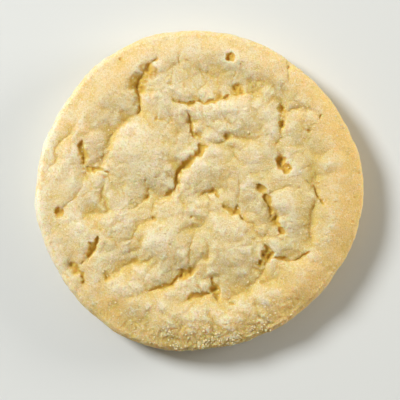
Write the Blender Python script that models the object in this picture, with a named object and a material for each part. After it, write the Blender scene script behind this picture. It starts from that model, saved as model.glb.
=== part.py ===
"""A soft sugar cookie: one crackled solid on a flat base, with a rounded rim.

Run it with: blender --background --python part.py
The origin is the centre of the cookie's box, on the surface that it rests on. +Z is up.
"""

import math
from collections import namedtuple

import bmesh
import bpy
import numpy as np
from mathutils import Vector, noise

MM = 0.001

# Driving dimensions of the plain cookie, before it cracks.
RADIUS = 40.3 * MM
THICKNESS = 10.4 * MM
CROWN_DROP = 1.5 * MM
CROWN_POWER = 8
SHOULDER_WIDTH = 1.8 * MM
WIDEST_LEVEL = 5.6 * MM
BASE_INSET = 3.0 * MM

# The outline isn't a true circle: (waves round the edge, height in mm, degrees of a crest).
OUTLINE_WAVES = ((1, 0.65, 190), (2, 0.37, 12), (3, 0.47, 117), (4, 0.24, 1), (5, 0.09, 33), (6, 0.17, 1))

# A raised rim stands outside a shallow moat, where the middle sank as it cooled. It lies further out
# on one side, by the shift, than on the other.
RIM_CREST_RADIUS = 33.0 * MM
RIM_CREST_HEIGHT = 0.55 * MM
RIM_CREST_WIDTH = 3.2 * MM
RIM_SHIFT = 2.0 * MM
RIM_SHIFT_DEG = 55
MOAT_RADIUS = 27.5 * MM
MOAT_DEPTH = 0.4 * MM
MOAT_WIDTH = 3.0 * MM

# Grades of crack, in mm: a slit's depth and width, and how far the crust sags beside it.
Grade = namedtuple("Grade", "slit_depth slit_width sag sag_reach")
GAPING = Grade(slit_depth=0.8, slit_width=1.4, sag=0.85, sag_reach=3.4)
OPEN = Grade(slit_depth=0.5, slit_width=0.8, sag=0.7, sag_reach=3.2)
CREASE = Grade(slit_depth=0.14, slit_width=0.45, sag=0.5, sag_reach=2.9)
FOLD = Grade(slit_depth=0.06, slit_width=0.6, sag=1.25, sag_reach=4.6)

# Each crack's grade and its route over the top, in mm from the middle.
CRACKS = {
    "north west valley": (OPEN, (-15.5, 19.5), (-14.5, 23.5), (-16.2, 26.3), (-14.5, 29), (-11.5, 33)),
    "north west fold": (FOLD, (-15.2, 20), (-19.5, 16.3), (-22.4, 13.5), (-24.8, 7)),
    "north west shelf": (CREASE, (-14.5, 27.8), (-8.5, 29.8), (-5.2, 31), (-5, 34)),
    "north ridge": (OPEN, (-6.8, 22.6), (-3.6, 21), (2, 22), (5, 23.3), (10.5, 24.3)),
    "north east ridge": (CREASE, (10.5, 24.3), (14, 24.6), (18, 26.5)),
    "centre notch": (OPEN, (-3.6, 19), (-2.7, 16.5), (-1.6, 13.4), (0.4, 13.5)),
    "heart": (GAPING, (1.2, 11.7), (-0.4, 9.2), (-3, 7), (-5.4, 4.6), (-6.3, 1.6)),
    "heart foot": (OPEN, (-6.3, 1.6), (-7.6, -0.3), (-9.5, -1.2)),
    "heart west": (CREASE, (-9.5, -1.2), (-12.6, 0.2), (-13.6, -2), (-18, -5)),
    "cross groove": (CREASE, (1.4, 11.7), (5.8, 12), (7.2, 13), (14.5, 13)),
    "cross branch": (CREASE, (7.5, 12.5), (7.8, 9.8), (9.8, 6.8)),
    "east chain": (CREASE, (20, 22.5), (19.6, 17), (19.8, 12.5), (18.8, 10.5), (20.8, 5)),
    "north east arc": (CREASE, (20.8, 20), (26.5, 20.6), (30, 18)),
    "arch": (OPEN, (0.8, -0.8), (3, 0.5), (4.9, -2)),
    "inner nick": (OPEN, (5.5, -3.2), (8.2, -5.2), (11, -6.8)),
    "short slit": (CREASE, (9.5, 4), (9.9, 0.8), (9.4, -1.6)),
    "east": (GAPING, (14.2, 1), (15.8, -1.5), (17.8, -5.5), (20, -10.2)),
    "east branch": (CREASE, (15.8, -1.5), (18, -0.1), (22.5, 1.5)),
    "east rim": (CREASE, (28.6, 4.5), (28.9, 1.2)),
    "east rim slit": (OPEN, (28.4, 1.4), (29.4, -1.4), (31, -3.5)),
    "east fold": (FOLD, (28.6, -3.5), (27, -9.5), (27.2, -13), (29, -14.6)),
    "south east": (OPEN, (29, -14.5), (25, -16.2), (22.5, -17), (16.5, -16.5)),
    "south fold": (FOLD, (16.8, -16), (14.8, -21.5), (11.4, -24.8), (7, -27)),
    "south east corner": (CREASE, (1.8, -13), (1.2, -16), (-2, -19)),
    "south": (GAPING, (-1.2, -18.8), (-4, -20.6), (-7.2, -22.4)),
    "south west": (OPEN, (-6.4, -22.2), (-9, -24.4), (-13, -25.4)),
    "south slit": (OPEN, (3.2, -22.2), (3.9, -24.8), (4.6, -27.6)),
    "south west slit": (OPEN, (3.6, -25.2), (-1.4, -26), (-3.2, -27.4)),
    "mound east side": (CREASE, (-1.5, -9.6), (-2.6, -13.5), (-3.2, -19)),
    "mound north side": (CREASE, (-4.8, -9.6), (-1.8, -9.6), (0.8, -8.2)),
    "mound west side": (CREASE, (-10.4, -6.8), (-15.8, -8.8), (-17.4, -11.8), (-20, -12.6)),
    "mound foot": (FOLD, (-12.2, -17), (-16.5, -18), (-23.4, -21.4)),
    "west": (GAPING, (-29.2, 12), (-28.4, 7.5), (-27.6, 4.8)),
    "west spur": (OPEN, (-27.6, 4.8), (-24.6, 5.6), (-22.2, 3.5)),
    "west fold": (FOLD, (-24.3, 3), (-24.3, 0), (-22.3, -4.4), (-28, -6)),
    "west bank": (CREASE, (-27.8, 4.6), (-29, 1.5), (-34.2, -5.5)),
    "south west gap": (GAPING, (-25.8, -11.5), (-26.8, -14.8), (-29.2, -18)),
    "south west foot": (OPEN, (-32.6, -18.9), (-29.6, -20), (-29, -23.5)),
    "west rim": (CREASE, (-31.5, 16.2), (-35.6, 11), (-35.8, 8.2), (-38, 4.5)),
    "north rim": (CREASE, (22.2, 31), (21.8, 26)),
    "south rim": (CREASE, (13.2, -27.5), (13.9, -31), (16.2, -33)),
    "south rim nick": (CREASE, (2, -30.5), (5.6, -34.6)),
}

# Pits that opened over steam pockets: x, y, radius and depth of the pocket, in mm.
PITS = (
    (-15.4, 27, 3.2, 2.0), (-13, 29.8, 3.0, 1.6), (6.9, 33.1, 1.4, 2.4),
    (-11.5, 32.8, 0.7, 1.0), (22.2, 31, 0.8, 0.9),
    (19.9, 20.5, 1.3, 1.7), (19.8, 16.6, 1.3, 2.1), (20, 7, 2.2, 2.9), (21.3, 5.8, 1.9, 2.8),
    (9.3, 24.8, 2.0, 1.6), (4.4, 24, 1.5, 1.1), (26.3, 15, 0.8, 1.3), (25, 15, 0.6, 0.8),
    (30, 18.3, 0.8, 0.9), (7, 13.3, 1.3, 1.2), (-2.4, 7.9, 1.5, 1.5), (1, 11.3, 0.9, 1.0),
    (2.7, 0.1, 1.1, 1.2), (8.7, -4.8, 1.5, 1.5), (6.4, -3.7, 0.9, 0.9), (18.5, -7.5, 1.6, 2.1),
    (14.7, -0.2, 1.2, 1.2), (16.2, -15.8, 1.9, 2.6), (15.1, -17.6, 1.5, 1.9), (15.8, -23, 0.8, 0.7),
    (7.9, -28.1, 0.9, 1.1), (-4.8, -21, 2.0, 2.1), (-2.8, -20.1, 1.7, 1.8), (-2, -26.2, 1.2, 0.9),
    (3.9, -24.6, 1.5, 1.7), (-11.3, -7, 1.0, 1.0), (-1.8, -9.6, 1.0, 0.9), (-34.3, -5.5, 1.5, 1.8),
    (-28.4, 9, 1.4, 1.6), (-27, 5.1, 1.1, 1.3), (-27.5, -14.6, 1.7, 1.9), (-31.4, -19.2, 1.7, 1.3),
    (-13.2, -1.4, 1.2, 0.9), (-20.2, 32.4, 0.8, 0.8), (-11, 17.8, 0.7, 0.7), (-23, -21, 1.3, 1.0),
    (-2.2, -7.2, 0.6, 0.7), (-11.3, 2.9, 0.6, 0.6), (1, -15.6, 1.2, 0.7), (-16.4, -17.2, 1.5, 1.0),
)

# Plates of crust that the dough pushed up: x, y, radius and height, in mm.
MOUNDS = (
    (-7.5, 26, 8, 0.9), (-13.8, 8.5, 11, 1.0), (5.5, 18.5, 8, 0.8), (2, 6.2, 7.5, 0.7),
    (23, -4, 7.5, 0.9), (8.5, -13, 9.5, 1.1), (-8.6, -13.4, 7.5, 1.2), (-33, 7, 8, 0.35),
    (-26.8, 0, 4.5, 0.5), (-30, -11, 7.5, 0.5), (9, 30.2, 5.5, 0.4), (16.6, 21.5, 4.5, 0.4),
    (25, 19, 5, 0.4), (-14.3, -21.5, 4.5, 0.5), (-1.2, -31, 5.5, 0.5), (10, 2, 5, 0.4),
    (-1, -35, 5, 0.75), (7.5, -34, 4.5, 0.7), (-8.5, -34, 4.5, 0.6), (14, -31.5, 4, 0.5),
)

# Crumb fills the pockets to this share, on a rough floor.
PIT_SHARE = 0.5
PIT_GRAIN = 1.1 * MM
PIT_ROUGHNESS = 0.8

# Raggedness of the crust: how far it is pushed sideways for features of each size, and the seed of that.
NOISE_SEED = 14
SWAYS = ((4.5 * MM, 0.9 * MM), (1.7 * MM, 0.45 * MM))
RAGS = ((1.2 * MM, 0.45 * MM),)

# A slit's width comes and goes in necks, within limits, and tapers to this share at its ends. Its walls
# slope between two shares of its half width. Under its narrow end the crust still sags by this share.
NECK_SCALE = 1.9 * MM
NECK_SHARE = 1.3
NARROWEST_GAPE = 0.2
WIDEST_GAPE = 1.6
CLOSED_GAPE = 0.19
FULL_DEPTH_GAPE = 0.81
TAPER = 0.06
WALL_FOOT = 0.4
WALL_TOP = 1.5
END_SAG_SHARE = 0.4

# The crust between the cracks is crumpled, and swells in puffs of two sizes with seams between them.
CRUMPLE_SCALE = 7.0 * MM
CRUMPLE_HEIGHT = 0.5 * MM
PUFF_SIZES = ((6.4 * MM, 0.6 * MM), (3.2 * MM, 0.26 * MM))
PUFF_SHOULDER = 0.45
PUFF_PATCH = 9.0 * MM
PUFF_MEAN = 0.7
PUFF_SPREAD = 0.9
PUFF_FAINTEST = 0.15
PUFF_DEEPEST = 1.4
SMOOTH_RIM_START = 29.5 * MM
SMOOTH_RIM_END = 35.0 * MM
RIM_SHARE = 0.45

# Fractal noise: how fast its finer layers fade, how much finer each is than the last, and their number.
FALLOFF = 1.3
FINER = 2.1
OCTAVES = 2

# Mesh fineness: the grid's cells on a side, and the faceted solid's triangles.
GRID_CELLS = 190
SOLID_TRIANGLES = 11400
PROFILE_STEPS = 400
SNAP_LEVEL = 0.08 * MM

BROWNED_EDGE_COLOUR = (0.80, 0.56, 0.25, 1.0)
COOKIE_ROUGHNESS = 0.85


def clear_scene():
    for obj in list(bpy.data.objects):
        bpy.data.objects.remove(obj, do_unlink=True)


def smoothstep(low, high, value):
    t = np.clip((value - low) / (high - low), 0.0, 1.0)
    return t * t * (3.0 - 2.0 * t)


def turned_profile():
    """Half the plain cookie's section, from the crown round the edge to the base: radius and height."""
    shoulder_radius = RADIUS - SHOULDER_WIDTH
    shoulder_level = THICKNESS - CROWN_DROP
    crown = np.linspace(0.0, shoulder_radius, PROFILE_STEPS)
    quarter = np.linspace(0.0, math.pi / 2, PROFILE_STEPS)[1:]
    radius = np.concatenate([
        crown,
        shoulder_radius + SHOULDER_WIDTH * np.sin(quarter),
        RADIUS - BASE_INSET * (1.0 - np.cos(quarter)),
    ])
    height = np.concatenate([
        THICKNESS - CROWN_DROP * (crown / shoulder_radius) ** CROWN_POWER,
        WIDEST_LEVEL + (shoulder_level - WIDEST_LEVEL) * np.cos(quarter),
        WIDEST_LEVEL * (1.0 - np.sin(quarter)),
    ])
    return radius, height


def disc_from_square(u, v):
    """Shares of a disc's radius, and angles, of points in a square, with cells of nearly equal area."""
    along_u = np.abs(u) > np.abs(v)
    share = np.where(along_u, u, v)
    safe = np.where(share == 0.0, 1.0, share)
    angle = np.where(along_u, math.pi / 4 * v / safe, math.pi / 2 - math.pi / 4 * u / safe)
    return np.abs(share), np.where(share < 0.0, angle + math.pi, angle)


def outline_factor(angle):
    """How far the edge stands out at an angle, as a share of the mean radius."""
    factor = np.ones_like(angle)
    for waves, height_mm, crest_deg in OUTLINE_WAVES:
        factor += height_mm * MM / RADIUS * np.cos(waves * (angle - math.radians(crest_deg)))
    return factor


def fractal(points, scale, offset):
    """Fractal noise from about -1 to 1 at each point, for features of one scale."""
    shift = Vector(offset)
    return np.array([noise.fractal(Vector(p) / scale + shift, FALLOFF, FINER, OCTAVES) for p in points])


def sunk(distance, reach):
    """From 0 where something is out of reach to 1 right at it, ever steeper on the way."""
    return np.clip(1.0 - distance / reach, 0.0, 1.0) ** 2


def seam_depths(points):
    """How far the crust sinks between its puffs, which is far in some places and little in others."""
    depth = np.zeros(len(points))
    for size, swell in PUFF_SIZES:
        nearest = np.array([noise.voronoi(Vector(p) / size)[0][:2] for p in points])
        depth += swell * sunk((nearest[:, 1] - nearest[:, 0]) / 2, PUFF_SHOULDER)
    patch = PUFF_MEAN + PUFF_SPREAD * fractal(points, PUFF_PATCH, (3.1, 5.7, 1.0))
    return depth * patch.clip(PUFF_FAINTEST, PUFF_DEEPEST)


def warped(points, warps):
    """The points pushed about sideways, so that what is drawn by them comes out uneven."""
    moved = points.copy()
    for scale, amount in warps:
        push = np.array([noise.noise_vector(Vector(p) / scale) for p in points])
        moved[:, :2] += amount * push[:, :2]
    return moved


def distance_to_route(points, route):
    """Each point's distance to a route, and its share of the way along it."""
    corners = np.array(route) * MM
    lengths = np.linalg.norm(np.diff(corners, axis=0), axis=1)
    nearest = np.full(len(points), np.inf)
    share = np.zeros(len(points))
    walked = 0.0
    for start, end, length in zip(corners[:-1], corners[1:], lengths):
        along = np.clip((points - start) @ (end - start) / length**2, 0.0, 1.0)
        distance = np.linalg.norm(points - start - along[:, None] * (end - start), axis=1)
        closer = distance < nearest
        nearest = np.where(closer, distance, nearest)
        share = np.where(closer, (walked + along * length) / lengths.sum(), share)
        walked += length
    return nearest, share


def opening_along(share):
    """How wide a crack gapes along its way, from its narrow ends to its middle."""
    return np.sqrt(np.sin(math.pi * (TAPER + (1.0 - 2.0 * TAPER) * share)))


def slit_depths(points, necks):
    """How far the slits cut in, at each point of the plan."""
    slit = np.zeros(len(points))
    for grade, *route in CRACKS.values():
        distance, share = distance_to_route(points, route)
        gape = np.clip(opening_along(share) * necks, NARROWEST_GAPE, WIDEST_GAPE)
        half_width = grade.slit_width * MM / 2 * gape
        depth_share = (gape - CLOSED_GAPE) / (FULL_DEPTH_GAPE - CLOSED_GAPE)
        cut = grade.slit_depth * MM * np.clip(depth_share, 0.0, 1.0)
        cut *= 1.0 - smoothstep(half_width * WALL_FOOT, half_width * WALL_TOP, distance)
        slit = np.maximum(slit, cut)
    return slit


def sag_depths(points):
    """How far the crust sags towards the cracks, at each point of the plan."""
    sag = np.zeros(len(points))
    for grade, *route in CRACKS.values():
        distance, share = distance_to_route(points, route)
        near = sunk(distance, grade.sag_reach * MM)
        depth_share = END_SAG_SHARE + (1.0 - END_SAG_SHARE) * opening_along(share)
        sag = np.maximum(sag, grade.sag * MM * near * depth_share)
    return sag


def bumps(points, table):
    """The largest of a table of round bumps, at each point of the plan."""
    height = np.zeros(len(points))
    for x, y, radius, top in table:
        reach = np.linalg.norm(points - np.array((x, y)) * MM, axis=1) / (radius * MM)
        height = np.maximum(height, top * MM * np.clip(1.0 - reach**2, 0.0, 1.0) ** 1.5)
    return height


def rim_rise(points):
    """How far the rim stands up, less the moat inside it, at each point."""
    radius = np.linalg.norm(points[:, :2], axis=1)
    shift = RIM_SHIFT * np.cos(np.arctan2(points[:, 1], points[:, 0]) - math.radians(RIM_SHIFT_DEG))
    rim = RIM_CREST_HEIGHT * np.exp(-(((radius - RIM_CREST_RADIUS - shift) / RIM_CREST_WIDTH) ** 2))
    return rim - MOAT_DEPTH * np.exp(-(((radius - MOAT_RADIUS) / MOAT_WIDTH) ** 2))


def relief(points):
    """How far the crust stands out of the plain cookie, at each point."""
    radius = np.linalg.norm(points[:, :2], axis=1)
    swayed = warped(points, SWAYS)
    ragged = warped(swayed, RAGS)
    necks = 1.0 + NECK_SHARE * fractal(points, NECK_SCALE, (4.4, 0.3, 8.0))
    worn = PIT_SHARE * (1.0 + PIT_ROUGHNESS * fractal(points, PIT_GRAIN, (1.2, 9.1, 4.0)))
    opened = np.maximum(slit_depths(ragged[:, :2], necks), worn * bumps(ragged[:, :2], PITS))
    rough_share = 1.0 - (1.0 - RIM_SHARE) * smoothstep(SMOOTH_RIM_START, SMOOTH_RIM_END, radius)
    crust = CRUMPLE_HEIGHT * fractal(points, CRUMPLE_SCALE, (7.3, 2.1, 0.0)) - seam_depths(swayed)
    raised = rim_rise(points) + bumps(swayed[:, :2], MOUNDS) + rough_share * crust
    return raised - sag_depths(swayed[:, :2]) - opened


def crust_points(u, v):
    """The cookie's surface at points of the unit square, which wraps it from the crown to the base."""
    radius, height = turned_profile()
    run = np.concatenate([[0.0], np.cumsum(np.hypot(np.diff(radius), np.diff(height)))])
    share, angle = disc_from_square(u, v)
    at = share * run[-1]
    plan = np.interp(at, run, radius) * outline_factor(angle)
    level = np.interp(at, run, height)
    lean = np.interp(at, run, np.gradient(radius, run))
    fall = np.interp(at, run, -np.gradient(height, run))
    plain = np.stack([plan * np.cos(angle), plan * np.sin(angle), level], axis=1)
    normal = np.stack([fall * np.cos(angle), fall * np.sin(angle), lean], axis=1)
    hold = smoothstep(0.0, WIDEST_LEVEL, level)
    return plain + normal * (relief(plain) * hold)[:, None]


def cookie_mesh():
    """A fine grid wrapped over the cookie and closed by one flat face at the base."""
    bm = bmesh.new()
    bmesh.ops.create_grid(bm, x_segments=GRID_CELLS, y_segments=GRID_CELLS, size=1.0)
    square = np.array([vert.co for vert in bm.verts])
    for vert, point in zip(bm.verts, crust_points(square[:, 0], square[:, 1])):
        vert.co = point
    bmesh.ops.contextual_create(bm, geom=[edge for edge in bm.edges if edge.is_boundary])
    bmesh.ops.recalc_face_normals(bm, faces=bm.faces)
    bmesh.ops.triangulate(bm, faces=bm.faces)
    mesh = bpy.data.meshes.new("cookie_fine")
    bm.to_mesh(mesh)
    bm.free()
    return mesh


def faceted(mesh):
    """A copy of a mesh with fewer triangles, which stay small where the crust is cracked."""
    fine = bpy.data.objects.new("fine", mesh)
    bpy.context.scene.collection.objects.link(fine)
    decimate = fine.modifiers.new("Fewer triangles", "DECIMATE")
    decimate.ratio = SOLID_TRIANGLES / len(mesh.polygons)
    graph = bpy.context.evaluated_depsgraph_get()
    result = bpy.data.meshes.new_from_object(fine.evaluated_get(graph))
    bpy.data.objects.remove(fine)
    return result


def settle(mesh):
    """Flattens the base and moves the middle of the cookie's box over the origin."""
    points = np.array([vert.co for vert in mesh.vertices])
    points[points[:, 2] < SNAP_LEVEL, 2] = 0.0
    middle = (points.min(axis=0) + points.max(axis=0)) / 2
    points[:, :2] -= middle[:2]
    mesh.vertices.foreach_set("co", points.astype(np.float32).ravel())
    mesh.update()


def baked_material():
    material = bpy.data.materials.new("baked_dough")
    material.use_nodes = True
    shader = material.node_tree.nodes["Principled BSDF"]
    shader.inputs["Base Color"].default_value = BROWNED_EDGE_COLOUR
    shader.inputs["Roughness"].default_value = COOKIE_ROUGHNESS
    return material


def build_cookie():
    mesh = faceted(cookie_mesh())
    mesh.name = "cookie"
    settle(mesh)
    mesh.materials.append(baked_material())
    mesh.shade_smooth()
    collection = bpy.data.collections.new("sugar_cookie")
    bpy.context.scene.collection.children.link(collection)
    collection.objects.link(bpy.data.objects.new("cookie", mesh))


def main():
    clear_scene()
    noise.seed_set(NOISE_SEED)
    build_cookie()


main()
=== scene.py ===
"""A soft sugar cookie: a crackled, grainy crust with crumbs and sugar on it, seen from above.

Run it with: blender --background --python scene.py
"""

import math
from collections import namedtuple

import bmesh
import bpy
import numpy as np
from bpy.props import FloatProperty, FloatVectorProperty, IntProperty, PointerProperty
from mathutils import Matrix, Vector, noise


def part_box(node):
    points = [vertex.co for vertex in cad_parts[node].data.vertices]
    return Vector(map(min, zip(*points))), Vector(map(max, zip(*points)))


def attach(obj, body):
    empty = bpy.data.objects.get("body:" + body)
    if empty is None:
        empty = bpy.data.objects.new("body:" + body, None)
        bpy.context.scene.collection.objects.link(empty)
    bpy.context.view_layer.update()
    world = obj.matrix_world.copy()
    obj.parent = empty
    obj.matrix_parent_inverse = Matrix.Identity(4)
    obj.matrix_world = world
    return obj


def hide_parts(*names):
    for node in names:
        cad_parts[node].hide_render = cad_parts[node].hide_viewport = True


bl_info = {
    "name": "Sugar Cookie",
    "version": (1, 0, 0),
    "blender": (4, 5, 0),
    "location": "3D View > Sidebar > Cookie",
    "description": "Bakes a crackled sugar cookie with crumbs and sugar on it",
    "category": "Object",
}

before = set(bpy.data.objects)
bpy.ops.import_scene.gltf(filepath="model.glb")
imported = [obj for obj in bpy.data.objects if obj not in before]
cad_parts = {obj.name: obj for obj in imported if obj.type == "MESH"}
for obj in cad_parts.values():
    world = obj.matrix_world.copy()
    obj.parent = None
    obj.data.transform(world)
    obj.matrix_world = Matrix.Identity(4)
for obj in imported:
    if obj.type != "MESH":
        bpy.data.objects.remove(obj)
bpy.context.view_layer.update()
COOKIE_LOW, COOKIE_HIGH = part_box("cookie")

MM = 0.001

# The outline isn't a true circle: (waves round the edge, height in mm, degrees of a crest).
OUTLINE_WAVES = (
    (1, 0.65, 190), (2, 0.37, 12), (3, 0.47, 117),
    (4, 0.24, 1), (5, 0.09, 33), (6, 0.17, 1),
)

# Grades of crack, in mm: a slit's depth and width, and how far the crust sags beside it.
Grade = namedtuple("Grade", "slit_depth slit_width sag sag_reach")
GAPING = Grade(slit_depth=0.8, slit_width=1.4, sag=0.85, sag_reach=3.4)
OPEN = Grade(slit_depth=0.5, slit_width=0.8, sag=0.7, sag_reach=3.2)
CREASE = Grade(slit_depth=0.14, slit_width=0.45, sag=0.5, sag_reach=2.9)
FOLD = Grade(slit_depth=0.06, slit_width=0.6, sag=1.25, sag_reach=4.6)

# Each crack's grade and its route over the top, in mm from the middle.
CRACKS = {
    "north west valley": (
        OPEN, (-15.5, 19.5), (-14.5, 23.5), (-16.2, 26.3), (-14.5, 29), (-11.5, 33),
    ),
    "north west fold": (FOLD, (-15.2, 20), (-19.5, 16.3), (-22.4, 13.5), (-24.8, 7)),
    "north west shelf": (CREASE, (-14.5, 27.8), (-8.5, 29.8), (-5.2, 31), (-5, 34)),
    "north ridge": (OPEN, (-6.8, 22.6), (-3.6, 21), (2, 22), (5, 23.3), (10.5, 24.3)),
    "north east ridge": (CREASE, (10.5, 24.3), (14, 24.6), (18, 26.5)),
    "centre notch": (OPEN, (-3.6, 19), (-2.7, 16.5), (-1.6, 13.4), (0.4, 13.5)),
    "heart": (GAPING, (1.2, 11.7), (-0.4, 9.2), (-3, 7), (-5.4, 4.6), (-6.3, 1.6)),
    "heart foot": (OPEN, (-6.3, 1.6), (-7.6, -0.3), (-9.5, -1.2)),
    "heart west": (CREASE, (-9.5, -1.2), (-12.6, 0.2), (-13.6, -2), (-18, -5)),
    "cross groove": (CREASE, (1.4, 11.7), (5.8, 12), (7.2, 13), (14.5, 13)),
    "cross branch": (CREASE, (7.5, 12.5), (7.8, 9.8), (9.8, 6.8)),
    "east chain": (CREASE, (20, 22.5), (19.6, 17), (19.8, 12.5), (18.8, 10.5), (20.8, 5)),
    "north east arc": (CREASE, (20.8, 20), (26.5, 20.6), (30, 18)),
    "arch": (OPEN, (0.8, -0.8), (3, 0.5), (4.9, -2)),
    "inner nick": (OPEN, (5.5, -3.2), (8.2, -5.2), (11, -6.8)),
    "short slit": (CREASE, (9.5, 4), (9.9, 0.8), (9.4, -1.6)),
    "east": (GAPING, (14.2, 1), (15.8, -1.5), (17.8, -5.5), (20, -10.2)),
    "east branch": (CREASE, (15.8, -1.5), (18, -0.1), (22.5, 1.5)),
    "east rim": (CREASE, (28.6, 4.5), (28.9, 1.2)),
    "east rim slit": (OPEN, (28.4, 1.4), (29.4, -1.4), (31, -3.5)),
    "east fold": (FOLD, (28.6, -3.5), (27, -9.5), (27.2, -13), (29, -14.6)),
    "south east": (OPEN, (29, -14.5), (25, -16.2), (22.5, -17), (16.5, -16.5)),
    "south fold": (FOLD, (16.8, -16), (14.8, -21.5), (11.4, -24.8), (7, -27)),
    "south east corner": (CREASE, (1.8, -13), (1.2, -16), (-2, -19)),
    "south": (GAPING, (-1.2, -18.8), (-4, -20.6), (-7.2, -22.4)),
    "south west": (OPEN, (-6.4, -22.2), (-9, -24.4), (-13, -25.4)),
    "south slit": (OPEN, (3.2, -22.2), (3.9, -24.8), (4.6, -27.6)),
    "south west slit": (OPEN, (3.6, -25.2), (-1.4, -26), (-3.2, -27.4)),
    "mound east side": (CREASE, (-1.5, -9.6), (-2.6, -13.5), (-3.2, -19)),
    "mound north side": (CREASE, (-4.8, -9.6), (-1.8, -9.6), (0.8, -8.2)),
    "mound west side": (CREASE, (-10.4, -6.8), (-15.8, -8.8), (-17.4, -11.8), (-20, -12.6)),
    "mound foot": (FOLD, (-12.2, -17), (-16.5, -18), (-23.4, -21.4)),
    "west": (GAPING, (-29.2, 12), (-28.4, 7.5), (-27.6, 4.8)),
    "west spur": (OPEN, (-27.6, 4.8), (-24.6, 5.6), (-22.2, 3.5)),
    "west fold": (FOLD, (-24.3, 3), (-24.3, 0), (-22.3, -4.4), (-28, -6)),
    "west bank": (CREASE, (-27.8, 4.6), (-29, 1.5), (-34.2, -5.5)),
    "south west gap": (GAPING, (-25.8, -11.5), (-26.8, -14.8), (-29.2, -18)),
    "south west foot": (OPEN, (-32.6, -18.9), (-29.6, -20), (-29, -23.5)),
    "west rim": (CREASE, (-31.5, 16.2), (-35.6, 11), (-35.8, 8.2), (-38, 4.5)),
    "north rim": (CREASE, (22.2, 31), (21.8, 26)),
    "south rim": (CREASE, (13.2, -27.5), (13.9, -31), (16.2, -33)),
    "south rim nick": (CREASE, (2, -30.5), (5.6, -34.6)),
}

# Pits that opened over steam pockets: x, y, radius and depth, in mm.
PITS = (
    (-15.4, 27, 3.2, 2.0), (-13, 29.8, 3.0, 1.6), (6.9, 33.1, 1.4, 2.4), (-11.5, 32.8, 0.7, 1.0),
    (22.2, 31, 0.8, 0.9),
    (19.9, 20.5, 1.3, 1.7), (19.8, 16.6, 1.3, 2.1), (20, 7, 2.2, 2.9), (21.3, 5.8, 1.9, 2.8),
    (9.3, 24.8, 2.0, 1.6), (4.4, 24, 1.5, 1.1), (26.3, 15, 0.8, 1.3), (25, 15, 0.6, 0.8),
    (30, 18.3, 0.8, 0.9), (7, 13.3, 1.3, 1.2), (-2.4, 7.9, 1.5, 1.5), (1, 11.3, 0.9, 1.0),
    (2.7, 0.1, 1.1, 1.2), (8.7, -4.8, 1.5, 1.5), (6.4, -3.7, 0.9, 0.9), (18.5, -7.5, 1.6, 2.1),
    (14.7, -0.2, 1.2, 1.2), (16.2, -15.8, 1.9, 2.6), (15.1, -17.6, 1.5, 1.9), (15.8, -23, 0.8, 0.7),
    (7.9, -28.1, 0.9, 1.1), (-4.8, -21, 2.0, 2.1), (-2.8, -20.1, 1.7, 1.8), (-2, -26.2, 1.2, 0.9),
    (3.9, -24.6, 1.5, 1.7), (-11.3, -7, 1.0, 1.0), (-1.8, -9.6, 1.0, 0.9), (-34.3, -5.5, 1.5, 1.8),
    (-28.4, 9, 1.4, 1.6), (-27, 5.1, 1.1, 1.3), (-27.5, -14.6, 1.7, 1.9), (-31.4, -19.2, 1.7, 1.3),
    (-13.2, -1.4, 1.2, 0.9), (-20.2, 32.4, 0.8, 0.8), (-11, 17.8, 0.7, 0.7), (-23, -21, 1.3, 1.0),
    (-2.2, -7.2, 0.6, 0.7), (-11.3, 2.9, 0.6, 0.6), (1, -15.6, 1.2, 0.7), (-16.4, -17.2, 1.5, 1.0),
)

# Plates of crust that the dough pushed up: x, y, radius and height, in mm.
MOUNDS = (
    (-7.5, 26, 8, 0.9), (-13.8, 8.5, 11, 1.0), (5.5, 18.5, 8, 0.8), (2, 6.2, 7.5, 0.7),
    (23, -4, 7.5, 0.9), (8.5, -13, 9.5, 1.1), (-8.6, -13.4, 7.5, 1.2), (-33, 7, 8, 0.35),
    (-26.8, 0, 4.5, 0.5), (-30, -11, 7.5, 0.5), (9, 30.2, 5.5, 0.4), (16.6, 21.5, 4.5, 0.4),
    (25, 19, 5, 0.4), (-14.3, -21.5, 4.5, 0.5), (-1.2, -31, 5.5, 0.5), (10, 2, 5, 0.4),
    (-1, -35, 5, 0.75), (7.5, -34, 4.5, 0.7), (-8.5, -34, 4.5, 0.6), (14, -31.5, 4, 0.5),
)

# Places where the crust coloured more: x, y, radius in mm, and how much.
GOLDEN_PATCHES = (
    (-30, 14, 8, 0.45), (-23, -28, 5, 0.5), (-29, -15.5, 4.5, 0.5), (36, 10, 6, 0.5),
    (5.5, -34, 3, 0.5), (27, -27, 9, 0.45), (-20, 27, 7, 0.4), (38, -6, 9, 0.3), (3, 38, 11, 0.15),
    (-16, 34, 6, 0.3), (18, 34, 7, 0.2), (-36, -2, 6, 0.1), (-29, 26, 8, 0.3),
)

# Places along the near edge where the crust crumbled: x, y, radius in mm, and how much.
CRUMBLED_PATCHES = (
    (0, -38, 8, 1.0), (-8, -36.5, 6.5, 0.8), (8, -36.5, 7, 0.9), (15, -33.5, 6.5, 0.8),
    (22, -29.5, 6, 0.5), (-16, -33.5, 6, 0.6), (-24, -28, 5, 0.4), (2, -31, 6, 0.3),
)

# Clusters of sugar that stuck near the edge: x, y, radius in mm, and how thick.
SUGAR_PATCHES = (
    (-6.2, -38, 1.6, 1.0), (1.7, -37.9, 2.0, 1.3), (4.1, -36.8, 1.6, 1.2), (7.6, -36.7, 1.8, 1.3),
    (13.3, -34.4, 1.8, 0.8), (-7.6, -35, 1.8, 0.6), (1, -37, 11, 0.06),
)

# Raggedness of the crust: how far it is pushed sideways for features of each size, and its seed.
NOISE_SEED = 14
SWAYS = ((4.5 * MM, 0.9 * MM), (1.7 * MM, 0.45 * MM), (0.8 * MM, 0.16 * MM))
RAGS = ((1.2 * MM, 0.45 * MM), (0.6 * MM, 0.15 * MM))

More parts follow.
